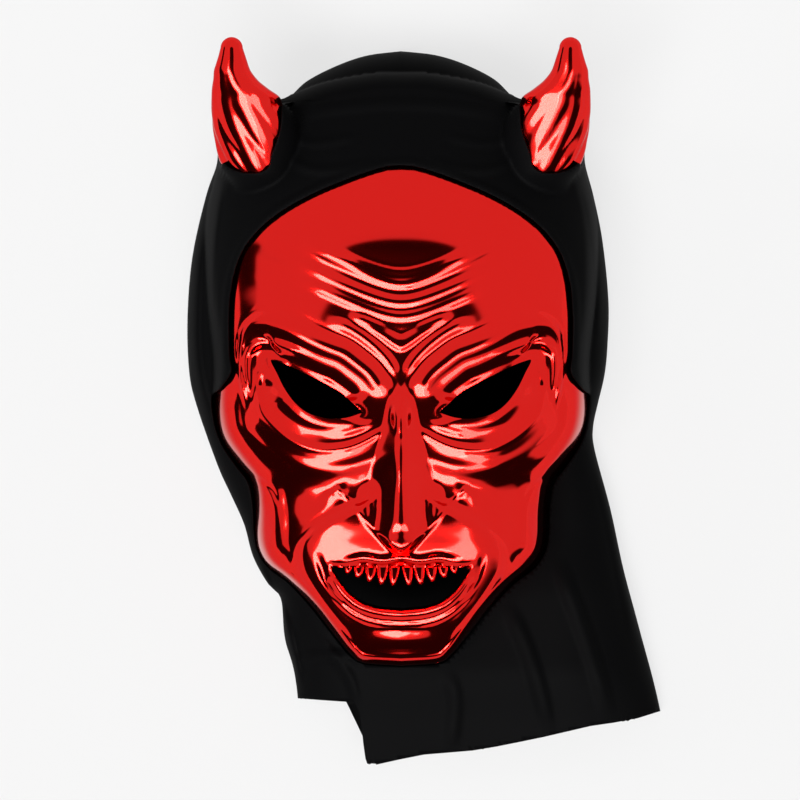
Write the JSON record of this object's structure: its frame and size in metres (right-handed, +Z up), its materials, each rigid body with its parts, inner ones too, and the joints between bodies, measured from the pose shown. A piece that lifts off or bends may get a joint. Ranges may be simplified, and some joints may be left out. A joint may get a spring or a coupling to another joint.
{
  "type": "devil mask",
  "caption": "Hollow moulded devil face with curled horns, open eyes and toothed grin, set in a soft cloth hood with an open neck, lying face up.",
  "frame": {"origin": "point on the table under the middle of the face, between the pupils", "axes": "+X to the right of the face as it is looked at, +Y towards the top of the head and the horns, +Z up out of the face, with the mask lying on its back"},
  "size_m": [0.1904, 0.2913, 0.0797],
  "materials": {
    "red_metallised": "mirror red metallised plastic",
    "black_cloth": "matt black knitted polyester"
  },
  "bodies": {
    "root": {"mask_shell": "red_metallised", "hood": "black_cloth"}
  },
  "joints": []
}
